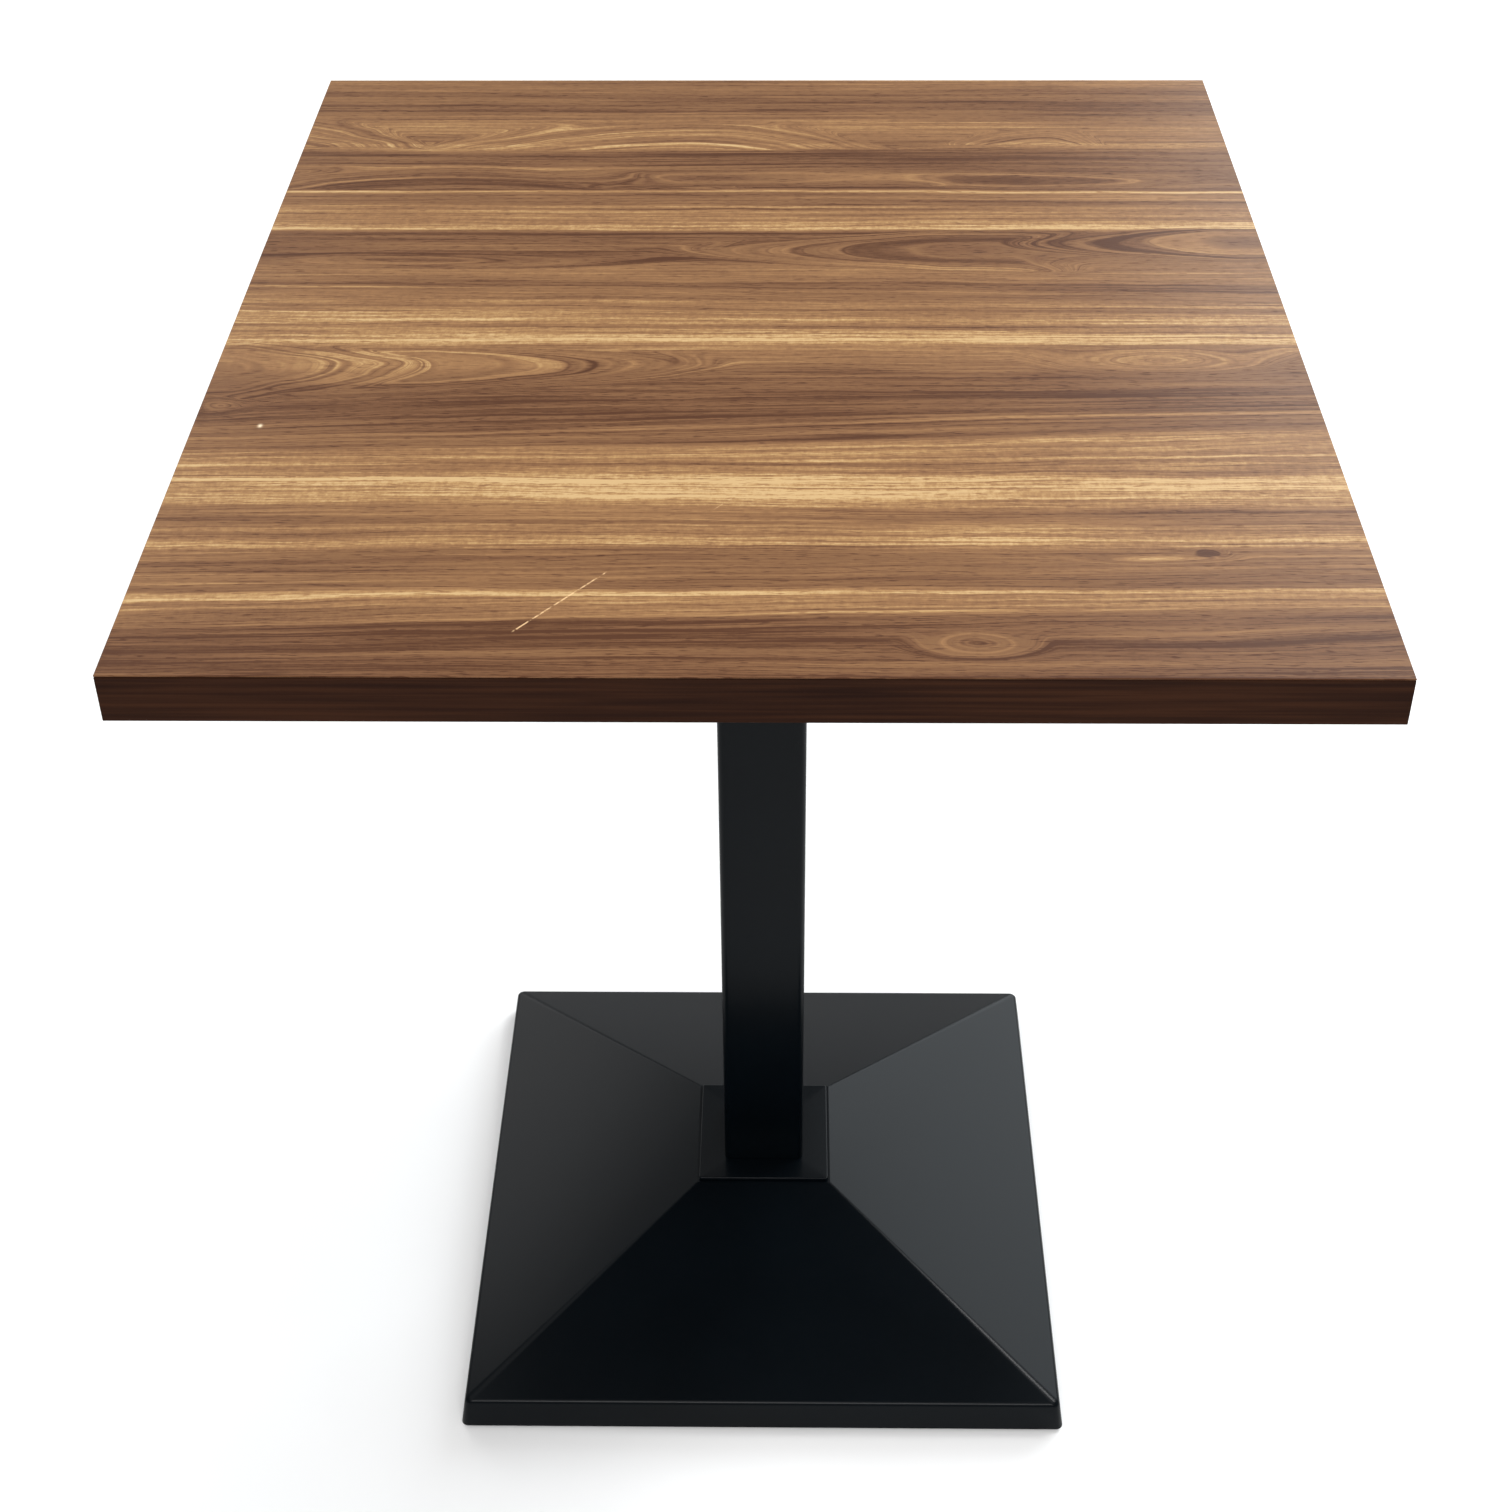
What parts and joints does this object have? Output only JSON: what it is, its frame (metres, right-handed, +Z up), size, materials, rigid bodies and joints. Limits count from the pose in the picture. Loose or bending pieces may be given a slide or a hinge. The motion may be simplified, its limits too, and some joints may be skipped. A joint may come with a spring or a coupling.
{
  "type": "bistro table",
  "caption": "Small rectangular cafe table: wood-look laminate top on a slim square column, with a shallow pyramid base and screw-adjustable levelling feet.",
  "frame": {"origin": "on the floor under the centre of the table, where the feet stand", "axes": "+Z up; X along the top's shorter side and along its grain; Y along the longer side, with -Y the side seen at the front"},
  "size_m": [0.6, 0.7, 0.748],
  "materials": {
    "walnut_laminate": "satin wood-look laminate",
    "walnut_edging": "satin dark edging",
    "chipboard": "raw",
    "backing_laminate": "matte backing sheet",
    "black_powder_coat": "satin black powder coat",
    "cast_iron": "as cast, black primer",
    "zinc_plated_steel": "bright zinc plate",
    "foot_plastic": "matte black"
  },
  "bodies": {
    "table": {"top_laminate": "walnut_laminate", "edge_band_front": "walnut_edging", "edge_band_back": "walnut_edging", "edge_band_left": "walnut_edging", "edge_band_right": "walnut_edging", "core_board": "chipboard", "backing_laminate": "backing_laminate", "top_spider": "black_powder_coat", "spider_screw_1": "zinc_plated_steel", "spider_screw_2": "zinc_plated_steel", "spider_screw_3": "zinc_plated_steel", "spider_screw_4": "zinc_plated_steel", "spider_screw_5": "zinc_plated_steel", "spider_screw_6": "zinc_plated_steel", "spider_screw_7": "zinc_plated_steel", "spider_screw_8": "zinc_plated_steel", "column_tube": "black_powder_coat", "column_spigot": "black_powder_coat", "tie_rod": "zinc_plated_steel", "top_washer": "zinc_plated_steel", "top_nut": "zinc_plated_steel", "bottom_washer": "zinc_plated_steel", "bottom_nut": "zinc_plated_steel", "cap_plate": "black_powder_coat", "base_cover": "black_powder_coat", "counterweight": "cast_iron", "foot_insert_1": "zinc_plated_steel", "foot_insert_2": "zinc_plated_steel", "foot_insert_3": "zinc_plated_steel", "foot_insert_4": "zinc_plated_steel"},
    "foot_1_pad_body": {"foot_pad_1": "foot_plastic"},
    "foot_1_stud_body": {"foot_stud_1": "zinc_plated_steel"},
    "foot_2_pad_body": {"foot_pad_2": "foot_plastic"},
    "foot_2_stud_body": {"foot_stud_2": "zinc_plated_steel"},
    "foot_3_pad_body": {"foot_pad_3": "foot_plastic"},
    "foot_3_stud_body": {"foot_stud_3": "zinc_plated_steel"},
    "foot_4_pad_body": {"foot_pad_4": "foot_plastic"},
    "foot_4_stud_body": {"foot_stud_4": "zinc_plated_steel"}
  },
  "joints": [
    {"name": "foot_1_level", "type": "slide", "parent": "table", "child": "foot_1_pad_body", "axis": [0, 0, -1], "range_m": [0, 0.008]},
    {"name": "foot_1_screw", "type": "hinge", "parent": "foot_1_pad_body", "child": "foot_1_stud_body", "pos_m": [0.16, -0.16, 0.012], "axis": [0, 0, -1], "range_deg": [0, 2304]},
    {"name": "foot_2_level", "type": "slide", "parent": "table", "child": "foot_2_pad_body", "axis": [0, 0, -1], "range_m": [0, 0.008]},
    {"name": "foot_2_screw", "type": "hinge", "parent": "foot_2_pad_body", "child": "foot_2_stud_body", "pos_m": [0.16, 0.16, 0.012], "axis": [0, 0, -1], "range_deg": [0, 2304]},
    {"name": "foot_3_level", "type": "slide", "parent": "table", "child": "foot_3_pad_body", "axis": [0, 0, -1], "range_m": [0, 0.008]},
    {"name": "foot_3_screw", "type": "hinge", "parent": "foot_3_pad_body", "child": "foot_3_stud_body", "pos_m": [-0.16, 0.16, 0.012], "axis": [0, 0, -1], "range_deg": [0, 2304]},
    {"name": "foot_4_level", "type": "slide", "parent": "table", "child": "foot_4_pad_body", "axis": [0, 0, -1], "range_m": [0, 0.008]},
    {"name": "foot_4_screw", "type": "hinge", "parent": "foot_4_pad_body", "child": "foot_4_stud_body", "pos_m": [-0.16, -0.16, 0.012], "axis": [0, 0, -1], "range_deg": [0, 2304]}
  ],
  "couplings": [
    {"joint": "foot_1_screw", "follows": "foot_1_level", "rad_per_m": 5026.5},
    {"joint": "foot_2_screw", "follows": "foot_2_level", "rad_per_m": 5026.5},
    {"joint": "foot_3_screw", "follows": "foot_3_level", "rad_per_m": 5026.5},
    {"joint": "foot_4_screw", "follows": "foot_4_level", "rad_per_m": 5026.5}
  ]
}
